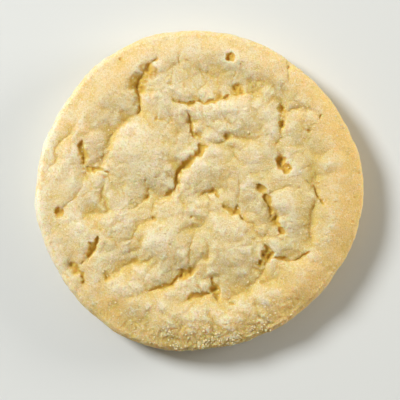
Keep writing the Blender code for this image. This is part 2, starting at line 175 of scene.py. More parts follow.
# A slit's width comes and goes in necks, within limits, and tapers to this share at its ends. It gets
# deeper the more it gapes, after a closed start. Its walls slope between two shares of its half width.
# Under its narrow end the crust still sags by this share.
NECK_SCALE = 1.9 * MM
NECK_SHARE = 1.3
NARROWEST_GAPE = 0.2
WIDEST_GAPE = 1.6
DEPTH_PER_GAPE = 1.6
CLOSED_START = 0.3
TAPER = 0.06
WALL_FOOT = 0.4
WALL_TOP = 1.5
END_SAG_SHARE = 0.4

# Round bumps and pits: how steep they are, and how deep and how worn the pits are.
BUMP_POWER = 1.5
PIT_SHARE = 0.5
PIT_GRAIN = 1.1 * MM
PIT_ROUGHNESS = 0.8

# The seams between puffs and lumps: how wide their shoulders are, how much deeper they cut where the
# crust is loose, and how they fade in patches.
PUFF_SHOULDER = 0.45
CLOD_SHOULDER = 0.5
LOOSE_LUMPS = 2.4
PUFF_PATCH = 9.0 * MM
PUFF_MEAN = 0.7
PUFF_SPREAD = 0.9
PUFF_FAINTEST = 0.15
PUFF_DEEPEST = 1.4

# Hairlines run broken along the seams between the small puffs.
HAIRLINE_DEPTH = 0.11 * MM
HAIRLINE_WIDTH = 0.5 * MM
HAIRLINE_WALL_FOOT = 0.2
HAIRLINE_PATCH = 2.2 * MM
HAIRLINE_STARTS = 0.12
HAIRLINE_WHOLE = 0.5

# The rim is smoother than the middle, and its crest lies further out on one side.
SMOOTH_RIM_START = 29.5 * MM
SMOOTH_RIM_END = 35.0 * MM
RIM_SHARE = 0.45
RIM_SHIFT = 2.0 * MM
RIM_SHIFT_DEG = 55
CROWN_POWER = 8

# Fractal noise: how fast its finer layers fade, and how much finer each is than the last.
FALLOFF = 1.3
FINER = 2.1

# How far around a point its height is compared, to tell where the crust lies low, where the material
# paints a yellow shade.
HOLLOW_REACHES = (0.8 * MM, 3.0 * MM)

# Mesh fineness: steps of the section, the grid's cells on a side before the flat parts are thinned,
# the triangles that are left, and the level under which a point belongs to the base.
PROFILE_STEPS = 400
GRID_CELLS = 480
CRUST_TRIANGLES = 190000
SNAP_LEVEL = 0.08 * MM

# The sandy grain's noise, how far it swings, how much more where the crust is loose, and where in its
# cell a pore's wall lies.
GRAIN_DETAIL = 2.0
GRAIN_ROUGHNESS = 0.65
GRAIN_SWING = 2.0
LOOSE_GRAIN_SWING = 3.0
PORE_BAND = (0.06, 0.3)

# A crumb and a grain of sugar, as shares of their width.
CRUMB_LUMP_HEIGHT = 0.45
CRUMB_LUMPS = 3.0
CRUMB_FLATNESS = 0.75
SUGAR_SLANT = 0.2
SUGAR_DEPTH = 0.8
SUGAR_WEAR = 0.1

# Where crumbs and sugar lie: above this level, on faces that look up, and in patches of these sizes.
# The shares say how thickly.
STREWN_LEVEL = 2.0 * MM
CRUMB_SLOPES = (0.2, 0.7)
CRUMB_PATCH_SIZE = 5.0 * MM
SUGAR_SLOPES = (0.1, 0.5)
SUGAR_PATCH_SIZE = 2.0 * MM
STREWN_OCTAVES = 3
MOST_PER_SQUARE_METRE = 6.0e6
CRUMBS_EVERYWHERE = 0.15
CRUMBS_IN_PATCHES = 0.6
CRUMBS_WHERE_LOOSE = 0.35
SUGAR_IN_CLUSTERS = 0.8
SUGAR_EVERYWHERE = 0.006
SUGAR_SEED_STEP = 20

# Fields of noise, which colour the crust, the crumbs and the sugar.
Field = namedtuple("Field", "size detail seed")
DRIFT = Field(11 * MM, 3.0, 3.0)
BLOTCHES = Field(2.6 * MM, 4.0, 5.0)
MOTTLE = Field(0.55 * MM, 3.0, 8.0)
SAND = Field(0.3 * MM, 2.0, 11.0)
STREAKS = Field(0.5 * MM, 2.0, 1.0)
CRUMB_CLOUDS = Field(1.1 * MM, 2.0, 2.0)
SUGAR_CLOUDS = Field(0.4 * MM, 2.0, 4.0)
FIELD_MIDDLE = 0.5

# The way across the cookie, away from the window at the upper left. Sides fade out inside the hub.
ACROSS_X = 0.73
ACROSS_Y = -0.68
HUB = 1 * MM

# The rim's gold, with painted shade that adds to it on the side away from the window and a painted
# highlight that pales its lip near the window: the radii and the sides where each part of it comes in,
# and its shares.
RIM_RADII = (27 * MM, 39 * MM)
RIM_SIDE = (-0.5, 0.6)
RIM_DRIFT = 14 * MM
NEAR_RIM_GOLD = 0.32
LIP_RADII = (36 * MM, 39.5 * MM)
LIP_SIDE = (0.1, -0.6)
LIP_HIGHLIGHT = 0.8
STREAK_RADII = (32 * MM, 36 * MM)
STREAK_SIDE = (-0.2, 0.5)
STREAK_STRETCH = 0.3
STREAK_TURN = 50 * MM
BLOTCH_GOLD = 1.05
MOTTLE_GOLD = 0.8

# The middle takes a painted shade across the cookie, away from the window, and the left edge, towards
# it, a painted highlight.
FAR_SHADE_BAND = (-30 * MM, 30 * MM)
EDGE_HIGHLIGHT_RADII = (34 * MM, 39 * MM)
EDGE_HIGHLIGHT_SIDE = (-0.5, -0.95)
EDGE_HIGHLIGHT_SHARE = 0.8

# What lies low or loose takes a painted yellow shade, and what stands up a painted highlight, both
# mixed with the crust's random blotches and grain.
HOLLOW_SHADE_YELLOW = 1.7
LOOSE_HOLLOW_SHADE_YELLOW = 2.0
DIPPED_SHADE_YELLOW = 1.1
BLOTCH_YELLOW = 2.0
MOTTLE_YELLOW = 0.7
LOOSE_SHADE_YELLOW = 0.05
LOOSE_MOTTLE_YELLOW = 1.5
SHADE_YELLOW_BAND = (-0.45, 1.1)
HIGHLIGHT_AND_TONE_BAND = (-0.25, -1.0)
HIGHLIGHT_AND_TONE_SHARE = 0.5
DARK_SAND_BAND = (0.52, 0.2)
LIGHT_SAND_BAND = (0.5, 0.82)
SAND_HEIGHT = 0.33 * MM

# The cracks, the pores and the base are browned.
SPECK_MOTTLE = 0.6
SPECK_BAND = (-0.1, 0.25)
SPECK_SHARE = 0.7
BROWN_BAND = (0.06, 0.6)
BROWN_SHARE = 0.9
BASE_MOTTLE = 1.0 * MM
BASE_BAND = (0.1 * MM, 2.2 * MM)
BASE_SHARE = 0.8

# How matt the crust is, and how much the crumbs and the sugar vary.
CRUST_ROUGHNESS = 0.72
MOTTLE_ROUGHNESS = 0.2
BROWN_ROUGHNESS = 0.1
CRUMB_BAND = (0.4, 0.8)
SUGAR_CLOUD_SHARE = 0.5

# The view is straight down, with the cookie a little above the middle of it.
VIEW_WIDTH = 100 * MM
VIEW_CENTRE = Vector((0.19 * MM, -2.25 * MM, 4.0 * MM))
VIEW_DISTANCE = 500 * MM
SENSOR_WIDTH = 36.0
FLOOR_WIDTH = 8.0

# The room's light, which is dimmer in front of the cookie than behind it.
ROOM_BAND = (-0.8, 0.1)
ROOM_FRONT = (0.075, 0.067, 0.05)
ROOM_BACK = (0.335, 0.317, 0.28)


class CookieSizes(bpy.types.PropertyGroup):
    radius: FloatProperty(
        name="Radius", description="Mean radius of the cookie at its widest",
        default=40.3 * MM, unit="LENGTH", subtype="DISTANCE",
    )
    thickness: FloatProperty(
        name="Thickness", description="Height of the plain cookie's crown before it cracks",
        default=10.4 * MM, unit="LENGTH", subtype="DISTANCE",
    )
    crown_drop: FloatProperty(
        name="Crown drop", description="How far the top falls from its middle to its shoulder",
        default=1.5 * MM, unit="LENGTH", subtype="DISTANCE",
    )
    shoulder_width: FloatProperty(
        name="Shoulder width", description="How far in from the edge the rounding starts",
        default=1.8 * MM, unit="LENGTH", subtype="DISTANCE",
    )
    widest_level: FloatProperty(
        name="Widest level", description="Height at which the edge stands out furthest",
        default=5.6 * MM, unit="LENGTH", subtype="DISTANCE",
    )
    base_inset: FloatProperty(
        name="Base inset", description="How far the edge tucks in under the cookie",
        default=3.0 * MM, unit="LENGTH", subtype="DISTANCE",
    )
    rim_crest_radius: FloatProperty(
        name="Rim radius", description="Where the raised rim is highest",
        default=33.0 * MM, unit="LENGTH", subtype="DISTANCE",
    )
    rim_crest_height: FloatProperty(
        name="Rim height", description="How far the rim stands up",
        default=0.55 * MM, unit="LENGTH", subtype="DISTANCE",
    )
    rim_crest_width: FloatProperty(
        name="Rim width", description="Spread of the raised rim",
        default=3.2 * MM, unit="LENGTH", subtype="DISTANCE",
    )
    moat_radius: FloatProperty(
        name="Moat radius", description="Where the top sank most inside the rim",
        default=27.5 * MM, unit="LENGTH", subtype="DISTANCE",
    )
    moat_depth: FloatProperty(
        name="Moat depth", description="How far the top sank inside the rim",
        default=0.4 * MM, unit="LENGTH", subtype="DISTANCE",
    )
    moat_width: FloatProperty(
        name="Moat width", description="Spread of the sunk ring",
        default=3.0 * MM, unit="LENGTH", subtype="DISTANCE",
    )
    crumple_scale: FloatProperty(
        name="Crumple size", description="Size of the crust's soft lumps",
        default=7.0 * MM, unit="LENGTH", subtype="DISTANCE",
    )
    crumple_height: FloatProperty(
        name="Crumple height", description="Height of the crust's soft lumps",
        default=0.5 * MM, unit="LENGTH", subtype="DISTANCE",
    )
    puff_size: FloatProperty(
        name="Puff size", description="Width of the large puffs",
        default=6.4 * MM, unit="LENGTH", subtype="DISTANCE",
    )
    puff_height: FloatProperty(
        name="Puff height", description="How deep the seams between large puffs are",
        default=0.6 * MM, unit="LENGTH", subtype="DISTANCE",
    )
    small_puff_size: FloatProperty(
        name="Small puff size", description="Width of the small puffs",
        default=3.2 * MM, unit="LENGTH", subtype="DISTANCE",
    )
    small_puff_height: FloatProperty(
        name="Small puff height", description="How deep the seams between small puffs are",
        default=0.26 * MM, unit="LENGTH", subtype="DISTANCE",
    )
    pebble_size: FloatProperty(
        name="Pebble size", description="Width of the soft bumps on the puffs",
        default=2.3 * MM, unit="LENGTH", subtype="DISTANCE",
    )
    pebble_height: FloatProperty(
        name="Pebble height", description="Height of the soft bumps on the puffs",
        default=0.15 * MM, unit="LENGTH", subtype="DISTANCE",
    )
    lump_size: FloatProperty(
        name="Lump size", description="Width of the fine lumps where the crust crumbled",
        default=1.5 * MM, unit="LENGTH", subtype="DISTANCE",
    )
    lump_height: FloatProperty(
        name="Lump height", description="How deep the seams between fine lumps are",
        default=0.14 * MM, unit="LENGTH", subtype="DISTANCE",
    )
    clod_size: FloatProperty(
        name="Clod size", description="Width of the lumps that crumbled along the near edge",
        default=3.0 * MM, unit="LENGTH", subtype="DISTANCE",
    )
    clod_height: FloatProperty(
        name="Clod height", description="How deep the gaps between those lumps are",
        default=0.45 * MM, unit="LENGTH", subtype="DISTANCE",
    )
    grain_size: FloatProperty(
        name="Grain size", description="Size of the crust's sandy grain",
        default=0.7 * MM, unit="LENGTH", subtype="DISTANCE",
    )
    grain_height: FloatProperty(
        name="Grain height", description="Height of the crust's sandy grain",
        default=0.11 * MM, unit="LENGTH", subtype="DISTANCE",
    )
    pore_size: FloatProperty(
        name="Pore spacing", description="Distance between the fine pores",
        default=1.5 * MM, unit="LENGTH", subtype="DISTANCE",
    )
    pore_depth: FloatProperty(
        name="Pore depth", description="Depth of the fine pores",
        default=0.22 * MM, unit="LENGTH", subtype="DISTANCE",
    )
    crumb_size: FloatProperty(
        name="Crumb size", description="Width of a loose crumb",
        default=0.42 * MM, unit="LENGTH", subtype="DISTANCE",
    )
    crumb_gap: FloatProperty(
        name="Crumb spacing", description="Least distance between crumbs",
        default=0.8 * MM, unit="LENGTH", subtype="DISTANCE",
    )
    sugar_size: FloatProperty(
        name="Sugar grain", description="Width of a grain of sugar",
        default=0.36 * MM, unit="LENGTH", subtype="DISTANCE",
    )
    sugar_gap: FloatProperty(
        name="Sugar spacing", description="Least distance between grains of sugar",
        default=0.4 * MM, unit="LENGTH", subtype="DISTANCE",
    )
    seed: IntProperty(name="Seed", description="Seed of everything scattered", default=7)


class CookieColours(bpy.types.PropertyGroup):
    pale: FloatVectorProperty(
        name="Pale crust", description="The middle of the top",
        subtype="COLOR", size=3, default=(0.803, 0.677, 0.408),
    )
    # The palest grains, and also the colour of the painted highlights on the left edge and on raised
    # places.
    pale_grain_and_highlight: FloatVectorProperty(
        name="Dusted crust", description="The palest grains of the crust",
        subtype="COLOR", size=3, default=(0.895, 0.85, 0.665),
    )
    shaded: FloatVectorProperty(
        name="Shaded grain", description="The darkest grains of the crust",
        subtype="COLOR", size=3, default=(0.61, 0.465, 0.19),
    )
    # Painted shade over the top away from the window; the crumbs take it as their browner tone too.
    far_shade_and_crumb_tone: FloatVectorProperty(
        name="Mellow crust", description="The top away from the window",
        subtype="COLOR", size=3, default=(0.77, 0.622, 0.303),
    )
    golden: FloatVectorProperty(
        name="Golden crust", description="The rim and the puffs that coloured most",
        subtype="COLOR", size=3, default=(0.87, 0.60, 0.205),
    )
    # Painted shade: a yellow that stands for the warm shade in the hollows, cracks and seams.
    hollow_shade_yellow: FloatVectorProperty(
        name="Yellow creases", description="The flanks of the cracks and the seams between puffs",
        subtype="COLOR", size=3, default=(0.775, 0.54, 0.12),
    )
    browned: FloatVectorProperty(
        name="Browned seams", description="The insides of the cracks and pores",
        subtype="COLOR", size=3, default=(0.72, 0.45, 0.06),
    )
    base: FloatVectorProperty(
        name="Base", description="The underside, which browned on the tray",
        subtype="COLOR", size=3, default=(0.58, 0.33, 0.11),
    )
    crumb: FloatVectorProperty(
        name="Crumbs", description="The loose crumbs",
        subtype="COLOR", size=3, default=(0.85, 0.735, 0.42),
    )
    sugar: FloatVectorProperty(
        name="Sugar", description="The grains of sugar",
        subtype="COLOR", size=3, default=(0.92, 0.78, 0.46),
    )
    floor: FloatVectorProperty(
        name="Floor", description="The surface that the cookie lies on",
        subtype="COLOR", size=3, default=(0.715, 0.725, 0.70),
    )


class Socket:
    """A node's output, with the usual operators, each of which adds a Math node."""

    def __init__(self, nodes, output):
        self.nodes = nodes
        self.output = output

    def maths(self, operation, first, second):
        return self.nodes.add("ShaderNodeMath", {"operation": operation}, {0: first, 1: second})

    def __add__(self, other):
        return self.maths("ADD", self, other)

    def __radd__(self, other):
        return self.maths("ADD", other, self)

    def __sub__(self, other):
        return self.maths("SUBTRACT", self, other)

    def __rsub__(self, other):
        return self.maths("SUBTRACT", other, self)

    def __mul__(self, other):
        return self.maths("MULTIPLY", self, other)

    def __rmul__(self, other):
        return self.maths("MULTIPLY", other, self)

    def __truediv__(self, other):
        return self.maths("DIVIDE", self, other)

    def __rtruediv__(self, other):
        return self.maths("DIVIDE", other, self)

    def clamp(self):
        return self.nodes.add("ShaderNodeClamp", {}, {"Value": self})

    def sibling(self, name):
        """Another output of the same node."""
        return Socket(self.nodes, self.output.node.outputs[name])


class Nodes:
    """A node tree that is filled by one method."""

    def __init__(self, tree):
        self.tree = tree

    def add(self, kind, settings=None, sockets=None, output=0):
        """Adds a node with its settings and its sockets' values or links, and gives one output."""
        node = self.tree.nodes.new(kind)
        for name, value in (settings or {}).items():
            setattr(node, name, value)
        for name, value in (sockets or {}).items():
            if isinstance(value, Socket):
                self.tree.links.new(value.output, node.inputs[name])
            else:
                node.inputs[name].default_value = value
        return Socket(self, node.outputs[output]) if node.outputs else None

    def ramp(self, value, low, high):
        """A smooth step from 0 at one value to 1 at another."""
        return self.add(
            "ShaderNodeMapRange", {"interpolation_type": "SMOOTHSTEP"},
            {"Value": value, "From Min": low, "From Max": high},
        )

    def mix(self, share, first, second):
        """A blend of two colours."""
        return self.add("ShaderNodeMix", {"data_type": "RGBA"}, {0: share, 6: first, 7: second}, 2)


def colour(value):
    """An opaque colour with its fourth part."""
    return (*value, 1.0)


def smoothstep(low, high, value):
    """From 0 at one value to 1 at another, with soft ends."""
    t = np.clip((value - low) / (high - low), 0.0, 1.0)
    return t * t * (3.0 - 2.0 * t)


def turned_profile(sizes):
    """Half the plain cookie's section, from the crown round the edge to the base."""
    shoulder_radius = sizes.radius - sizes.shoulder_width
    shoulder_level = sizes.thickness - sizes.crown_drop
    crown = np.linspace(0.0, shoulder_radius, PROFILE_STEPS)
    quarter = np.linspace(0.0, math.pi / 2, PROFILE_STEPS)[1:]
    radius = np.concatenate([
        crown,
        shoulder_radius + sizes.shoulder_width * np.sin(quarter),
        sizes.radius - sizes.base_inset * (1.0 - np.cos(quarter)),
    ])
    height = np.concatenate([
        sizes.thickness - sizes.crown_drop * (crown / shoulder_radius) ** CROWN_POWER,
        sizes.widest_level + (shoulder_level - sizes.widest_level) * np.cos(quarter),
        sizes.widest_level * (1.0 - np.sin(quarter)),
    ])
    return radius, height


def disc_from_square(u, v):
    """The share of a disc's radius and the angle for each point of a square, in even cells."""
    along_u = np.abs(u) > np.abs(v)
    share = np.where(along_u, u, v)
    safe = np.where(share == 0.0, 1.0, share)
    angle = np.where(along_u, math.pi / 4 * v / safe, math.pi / 2 - math.pi / 4 * u / safe)
    return np.abs(share), np.where(share < 0.0, angle + math.pi, angle)


def outline_factor(angle, mean_radius):
    """How far the edge stands out at an angle, as a share of the mean radius."""
    factor = np.ones_like(angle)
    for waves, height_mm, crest_deg in OUTLINE_WAVES:
        factor += height_mm * MM / mean_radius * np.cos(waves * (angle - math.radians(crest_deg)))
    return factor


def fractal(points, scale, octaves, offset):
    """Noise from about -1 to 1 at each point, for features of one scale. The offset sets it apart."""
    shift = Vector(offset)
    return np.array([noise.fractal(Vector(p) / scale + shift, FALLOFF, FINER, octaves) for p in points])


def seam_distance(points, size):
    """How far each point is from the nearest seam between puffs of one size."""
    nearest = np.array([noise.voronoi(Vector(p) / size)[0][:2] for p in points])
    return (nearest[:, 1] - nearest[:, 0]) * size / 2


def sunk(distance, reach):
    """From 0 where something is out of reach to 1 right at it, ever steeper on the way."""
    return np.clip(1.0 - distance / reach, 0.0, 1.0) ** 2


def warped(points, warps):
    """The points pushed about sideways, so that what is drawn by them comes out uneven."""
    moved = points.copy()
    for scale, amount in warps:
        push = np.array([noise.noise_vector(Vector(p) / scale) for p in points])
        moved[:, :2] += amount * push[:, :2]
    return moved


def distance_to_route(points, route):
    """Each point's distance to a route, and its share of the way along it."""
    corners = np.array(route) * MM
    lengths = np.linalg.norm(np.diff(corners, axis=0), axis=1)
    nearest = np.full(len(points), np.inf)
    share = np.zeros(len(points))
    walked = 0.0
    for start, end, length in zip(corners[:-1], corners[1:], lengths):
        along = np.clip((points - start) @ (end - start) / length**2, 0.0, 1.0)
        distance = np.linalg.norm(points - start - along[:, None] * (end - start), axis=1)
        closer = distance < nearest
        nearest = np.where(closer, distance, nearest)
        share = np.where(closer, (walked + along * length) / lengths.sum(), share)
        walked += length
    return nearest, share


def opening_along(share):
    """How wide a crack gapes along its way, from its narrow ends to its middle."""
    return np.sqrt(np.sin(math.pi * (TAPER + (1.0 - 2.0 * TAPER) * share)))


def slit_depths(points, necks):
    """How far the slits cut in, at each point of the plan."""
    slit = np.zeros(len(points))
    for grade, *route in CRACKS.values():
        distance, share = distance_to_route(points, route)
        gape = np.clip(opening_along(share) * necks, NARROWEST_GAPE, WIDEST_GAPE)
        half_width = grade.slit_width * MM / 2 * gape
        cut = grade.slit_depth * MM * np.clip(gape * DEPTH_PER_GAPE - CLOSED_START, 0.0, 1.0)
        cut *= 1.0 - smoothstep(half_width * WALL_FOOT, half_width * WALL_TOP, distance)
        slit = np.maximum(slit, cut)
    return slit


def sag_depths(points):
    """How far the crust sags towards the cracks, at each point of the plan."""
    sag = np.zeros(len(points))
    for grade, *route in CRACKS.values():
        distance, share = distance_to_route(points, route)
        near = sunk(distance, grade.sag_reach * MM)
        depth_share = END_SAG_SHARE + (1.0 - END_SAG_SHARE) * opening_along(share)
        sag = np.maximum(sag, grade.sag * MM * near * depth_share)
    return sag


def bumps(points, table):
    """The largest of a table of round bumps, at each point of the plan, in mm."""
    height = np.zeros(len(points))
    for x, y, radius, top in table:
        reach = np.linalg.norm(points - np.array((x, y)) * MM, axis=1) / (radius * MM)
        height = np.maximum(height, top * np.clip(1.0 - reach**2, 0.0, 1.0) ** BUMP_POWER)
    return height


def rim_rise(points, radius, sizes):
    """How far the rim stands up, less the moat inside it, at each point."""
    shift = RIM_SHIFT * np.cos(np.arctan2(points[:, 1], points[:, 0]) - math.radians(RIM_SHIFT_DEG))
    rim = (radius - sizes.rim_crest_radius - shift) / sizes.rim_crest_width
    moat = (radius - sizes.moat_radius) / sizes.moat_width
    return sizes.rim_crest_height * np.exp(-(rim**2)) - sizes.moat_depth * np.exp(-(moat**2))


def seam_depths(swayed, between, sizes):
    """How far the crust dips to the seams between the large and the small puffs, at each point."""
    patch = PUFF_MEAN + PUFF_SPREAD * fractal(swayed, PUFF_PATCH, 2, (3.1, 5.7, 1.0))
    large = seam_distance(swayed, sizes.puff_size)
    dip = sunk(large, PUFF_SHOULDER * sizes.puff_size) * sizes.puff_height
    dip += sunk(between, PUFF_SHOULDER * sizes.small_puff_size) * sizes.small_puff_height
    return patch.clip(PUFF_FAINTEST, PUFF_DEEPEST) * dip


def hairline_depths(points, between, rough_share):
    """How far the hairlines cut in, given how far each point is from a seam between small puffs."""
    patch = fractal(points, HAIRLINE_PATCH, 2, (6.6, 2.8, 3.0))
    broken = smoothstep(HAIRLINE_STARTS, HAIRLINE_WHOLE, patch)
    near = 1.0 - smoothstep(HAIRLINE_WALL_FOOT, 1.0, 2 * between / HAIRLINE_WIDTH)
    return HAIRLINE_DEPTH * broken * rough_share * near


def crumbling_depths(swayed, ragged, crumbled, sizes):
    """How far the gaps between lumps and clods cut in where the crust crumbled, at each point."""
    lumps = sunk(seam_distance(ragged, sizes.lump_size), PUFF_SHOULDER * sizes.lump_size)
    lumps *= sizes.lump_height * LOOSE_LUMPS * crumbled
    clods = sunk(seam_distance(swayed, sizes.clod_size), CLOD_SHOULDER * sizes.clod_size)
    return lumps + sizes.clod_height * crumbled * clods


def relief(points, sizes):
    """How far the crust stands out of the plain cookie, and where it opened and crumbled."""
    radius = np.linalg.norm(points[:, :2], axis=1)
    swayed = warped(points, SWAYS)
    ragged = warped(swayed, RAGS)
    necks = 1.0 + NECK_SHARE * fractal(points, NECK_SCALE, 2, (4.4, 0.3, 8.0))
    slit = slit_depths(ragged[:, :2], necks)
    worn = PIT_SHARE * (1.0 + PIT_ROUGHNESS * fractal(points, PIT_GRAIN, 2, (1.2, 9.1, 4.0)))
    pits = worn * bumps(ragged[:, :2], PITS) * MM
    rough_share = 1.0 - (1.0 - RIM_SHARE) * smoothstep(SMOOTH_RIM_START, SMOOTH_RIM_END, radius)
    between = seam_distance(swayed, sizes.small_puff_size)
    opened = np.maximum(np.maximum(slit, pits), hairline_depths(points, between, rough_share))
    crust = sizes.crumple_height * fractal(points, sizes.crumple_scale, 2, (7.3, 2.1, 0.0))
    crust -= seam_depths(swayed, between, sizes)
    crust += sizes.pebble_height * fractal(swayed, sizes.pebble_size, 2, (5.2, 0.6, 9.0))
    crumbled = bumps(points[:, :2], CRUMBLED_PATCHES)
    mounds = bumps(swayed[:, :2], MOUNDS) * MM
    raised = rim_rise(points, radius, sizes) + mounds + rough_share * crust
    raised -= crumbling_depths(swayed, ragged, crumbled, sizes)
    raised -= sag_depths(swayed[:, :2])
    return raised - opened, {"opened": opened / MM, "crumbled": crumbled}


def smoothed(values, reach):
    """Values on a square grid, averaged twice over so many cells each way."""
    window = np.ones(2 * reach + 1) / (2 * reach + 1)
    for axis in (0, 1, 0, 1):
        values = np.apply_along_axis(
            lambda row: np.convolve(np.pad(row, reach, mode="edge"), window, "valid"), axis, values
        )
    return values


def hollows(raised, run):
    """How far each grid point lies below the crust around it, in mm, close by and further off."""
    side = math.isqrt(len(raised))
    grid = raised.reshape(side, side)
    cell = 2 * run / (side - 1)
    return [((smoothed(grid, round(reach / cell)) - grid) / MM).ravel() for reach in HOLLOW_REACHES]


def crust_points(u, v, sizes):
    """The cookie's surface at points of a square that wraps it, and its marks for the material."""
    radius, height = turned_profile(sizes)
    run = np.concatenate([[0.0], np.cumsum(np.hypot(np.diff(radius), np.diff(height)))])
    share, angle = disc_from_square(u, v)
    at = share * run[-1]
    plan = np.interp(at, run, radius) * outline_factor(angle, sizes.radius)
    level = np.interp(at, run, height)
    lean = np.interp(at, run, np.gradient(radius, run))
    fall = np.interp(at, run, -np.gradient(height, run))
    plain = np.stack([plan * np.cos(angle), plan * np.sin(angle), level], axis=1)
    normal = np.stack([fall * np.cos(angle), fall * np.sin(angle), lean], axis=1)
    hold = smoothstep(0.0, sizes.widest_level, level)
    raised, marks = relief(plain, sizes)
    marks["hold"] = hold
    marks["hollow"], marks["dipped"] = hollows(raised, run[-1])
    marks["gilded"] = bumps(plain[:, :2], GOLDEN_PATCHES)
    return plain + normal * (raised * hold)[:, None], marks


def settle(points):
    """Flattens the base and puts the cookie where its solid is."""
    points[points[:, 2] < SNAP_LEVEL, 2] = 0.0
    middle = (points.min(axis=0) + points.max(axis=0)) / 2
    place = (COOKIE_LOW + COOKIE_HIGH) / 2
    points[:, 0] += place.x - middle[0]
    points[:, 1] += place.y - middle[1]
    points[:, 2] += COOKIE_LOW.z
    return points


def linked(name, mesh):
    """A new object in the scene that holds a mesh."""
    piece = bpy.data.objects.new(name, mesh)
    bpy.context.scene.collection.objects.link(piece)
    return piece


def filled_mesh(name, bm):
    """A new mesh with all that an edit mesh holds, which is then freed."""
    mesh = bpy.data.meshes.new(name)
    bm.to_mesh(mesh)
    bm.free()
    return mesh


def add_mark(mesh, name, values):
    """Stores one value for each point of a mesh, under a name that nodes can read."""
    mark = mesh.attributes.new(name, "FLOAT", "POINT")
    mark.data.foreach_set("value", values.astype(np.float32))


def wrapped_crust(sizes):
    """A fine grid wrapped over the cookie and closed by one flat face at the base."""
    bm = bmesh.new()
    cells = GRID_CELLS
    bmesh.ops.create_grid(bm, x_segments=cells, y_segments=cells, size=1.0)
    square = np.array([vert.co for vert in bm.verts])
    points, marks = crust_points(square[:, 0], square[:, 1], sizes)
    for vert, point in zip(bm.verts, settle(points)):
        vert.co = point
    bmesh.ops.contextual_create(bm, geom=[edge for edge in bm.edges if edge.is_boundary])
    bmesh.ops.recalc_face_normals(bm, faces=bm.faces)
    bmesh.ops.triangulate(bm, faces=bm.faces)
    mesh = filled_mesh("wrapped_crust", bm)
    for name, values in marks.items():
        add_mark(mesh, name, values)
    return mesh


def new_tree(name, inputs):
    """A node maker for a new geometry tree, and the sockets of the tree's named inputs."""
    tree = bpy.data.node_groups.new(name, "GeometryNodeTree")
    tree.interface.new_socket("Geometry", in_out="INPUT", socket_type="NodeSocketGeometry")
    for label, kind in inputs.items():
        tree.interface.new_socket(label, in_out="INPUT", socket_type=kind)
    tree.interface.new_socket("Geometry", in_out="OUTPUT", socket_type="NodeSocketGeometry")
    nodes = Nodes(tree)
    outputs = nodes.add("NodeGroupInput").output.node.outputs
    return nodes, {socket.name: Socket(nodes, socket) for socket in outputs if socket.name}


def plain_mesh(holder):
    """The mesh that an object's modifier makes of it, after which the object is gone."""
    graph = bpy.context.evaluated_depsgraph_get()
    mesh = bpy.data.meshes.new_from_object(holder.evaluated_get(graph))
    bpy.data.objects.remove(holder)
    return mesh


def applied(mesh, nodes, values):
    """The plain mesh that a geometry tree makes of another mesh, with its inputs set."""
    holder = linked("holder", mesh)
    modifier = holder.modifiers.new("Nodes", "NODES")
    modifier.node_group = nodes.tree
    for item in nodes.tree.interface.items_tree:
        if item.in_out == "INPUT" and item.name in values:
            modifier[item.identifier] = values[item.name]
    return plain_mesh(holder)


def noise_field(nodes, field, position, roughness=0.6):
    """Fractal noise from 0 to 1."""
    return nodes.add("ShaderNodeTexNoise", {"noise_dimensions": "4D"}, {
        "Vector": position, "W": field.seed, "Scale": 1.0 / field.size,
        "Detail": field.detail, "Roughness": roughness,
    })


def read_mark(nodes, name):
    """A crust's mark, in a geometry tree."""
    return nodes.add("GeometryNodeInputNamedAttribute", {"data_type": "FLOAT"}, {"Name": name})


def write_mark(nodes, geometry, name, value):
    """The geometry with one more mark, in a geometry tree."""
    return nodes.add(
        "GeometryNodeStoreNamedAttribute", {"data_type": "FLOAT", "domain": "POINT"},
        {"Geometry": geometry, "Name": name, "Value": value},
    )


def finish_tree(nodes, geometry, material):
    """Ends a geometry tree in plain, painted geometry."""
    whole = nodes.add("GeometryNodeRealizeInstances", {}, {"Geometry": geometry})
    painted = nodes.add("GeometryNodeSetMaterial", {}, {"Geometry": whole, "Material": material})
    nodes.add("NodeGroupOutput", {}, {"Geometry": painted})


def grain_tree():
    """Raises a sandy grain over a crust and sinks fine pores into it."""
    nodes, given = new_tree("Crust grain", {
        "Grain size": "NodeSocketFloat", "Grain height": "NodeSocketFloat",
        "Pore spacing": "NodeSocketFloat", "Pore depth": "NodeSocketFloat",
        "Seed": "NodeSocketFloat", "Material": "NodeSocketMaterial",
    })
    place = nodes.add("GeometryNodeInputPosition")
    field = Field(given["Grain size"], GRAIN_DETAIL, given["Seed"])
    grain = noise_field(nodes, field, place, GRAIN_ROUGHNESS)
    cell = nodes.add(
        "ShaderNodeTexVoronoi", {"voronoi_dimensions": "4D"},
        {"Vector": place, "W": given["Seed"], "Scale": 1.0 / given["Pore spacing"]},
    )
    pore = 1.0 - nodes.ramp(cell, *PORE_BAND)
    swing = GRAIN_SWING + read_mark(nodes, "crumbled") * LOOSE_GRAIN_SWING
    rise = (grain - FIELD_MIDDLE) * given["Grain height"] * swing
    lift = (rise - pore * given["Pore depth"]) * read_mark(nodes, "hold")
    normal = nodes.add("GeometryNodeInputNormal")
    offset = nodes.add("ShaderNodeVectorMath", {"operation": "SCALE"}, {0: normal, "Scale": lift})
    marked = write_mark(nodes, given["Geometry"], "pored", pore)
    marked = write_mark(nodes, marked, "grained", grain)
    moved = nodes.add("GeometryNodeSetPosition", {}, {"Geometry": marked, "Offset": offset})
    finish_tree(nodes, moved, given["Material"])
    return nodes


